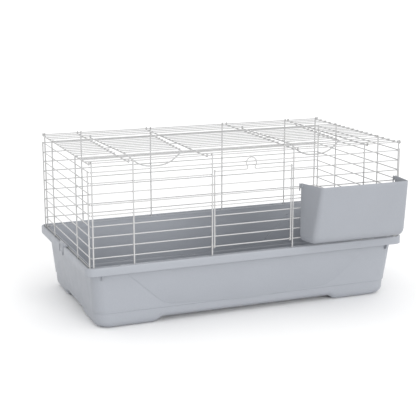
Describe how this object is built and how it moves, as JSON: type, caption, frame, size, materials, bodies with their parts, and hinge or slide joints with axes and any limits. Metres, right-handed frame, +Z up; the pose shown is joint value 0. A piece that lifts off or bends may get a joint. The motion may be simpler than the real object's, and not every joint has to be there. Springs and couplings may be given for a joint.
{
  "type": "small-animal cage",
  "caption": "Indoor small-animal cage: a white wire top with a front door and hinged roof doors, clipped to a deep moulded tray, with a hay rack hung outside the front.",
  "frame": {"origin": "under the middle of the whole object, on the surface it stands on", "axes": "+X along the length, to the right seen from the front; +Z up; the front door faces -Y"},
  "size_m": [0.8, 0.5146, 0.39],
  "materials": {
    "tray_plastic": "satin, fine moulded grain",
    "rack_plastic": "satin, fine moulded grain",
    "clip_plastic": "satin",
    "wire_coating": "white powder coat"
  },
  "bodies": {
    "tray": {"base_tray": "tray_plastic"},
    "cage_top": {"back_rails": "wire_coating", "back_uprights": "wire_coating", "front_hinge_rail": "wire_coating", "front_lintel_rail": "wire_coating", "front_rails_left": "wire_coating", "front_rails_right": "wire_coating", "front_sill_rail": "wire_coating", "front_uprights_left": "wire_coating", "front_uprights_right": "wire_coating", "left_end_rails": "wire_coating", "left_end_uprights": "wire_coating", "right_end_rails": "wire_coating", "right_end_uprights": "wire_coating", "roof_cross_wires_left": "wire_coating", "roof_cross_wires_middle": "wire_coating", "roof_cross_wires_right": "wire_coating", "roof_wires_back": "wire_coating", "roof_wires_front": "wire_coating", "roof_wires_left": "wire_coating", "roof_wires_middle": "wire_coating", "roof_wires_right": "wire_coating"},
    "front_door": {"front_door_stiles": "wire_coating", "front_door_rails": "wire_coating", "front_door_latch_wire": "wire_coating"},
    "roof_door_left": {"roof_door_frame_left": "wire_coating", "roof_door_wires_left": "wire_coating"},
    "roof_door_right": {"roof_door_frame_right": "wire_coating", "roof_door_wires_right": "wire_coating"},
    "hay_rack": {"hay_rack": "rack_plastic"},
    "clip_left": {"clip_left": "clip_plastic"},
    "clip_right": {"clip_right": "clip_plastic"}
  },
  "joints": [
    {"name": "cage_lift", "type": "slide", "parent": "tray", "child": "cage_top", "axis": [0, 0, 1], "range_m": [0, 0.25]},
    {"name": "front_door_hinge", "type": "hinge", "parent": "cage_top", "child": "front_door", "pos_m": [0, -0.18174, 0.173], "axis": [1, 0, 0], "range_deg": [0, 130]},
    {"name": "roof_door_left_hinge", "type": "hinge", "parent": "cage_top", "child": "roof_door_left", "pos_m": [-0.2055, 0.17026, 0.38525], "axis": [-1, 0, 0], "range_deg": [0, 165]},
    {"name": "roof_door_right_hinge", "type": "hinge", "parent": "cage_top", "child": "roof_door_right", "pos_m": [0.2055, 0.17026, 0.38525], "axis": [-1, 0, 0], "range_deg": [0, 165]},
    {"name": "rack_unhook", "type": "slide", "parent": "cage_top", "child": "hay_rack", "axis": [0, 0, 1], "range_m": [0, 0.012]},
    {"name": "clip_left_hinge", "type": "hinge", "parent": "tray", "child": "clip_left", "pos_m": [-0.3915, 0.03226, 0.138], "axis": [0, -1, 0], "range_deg": [0, 70]},
    {"name": "clip_right_hinge", "type": "hinge", "parent": "tray", "child": "clip_right", "pos_m": [0.3915, 0.03226, 0.138], "axis": [0, 1, 0], "range_deg": [0, 70]}
  ]
}
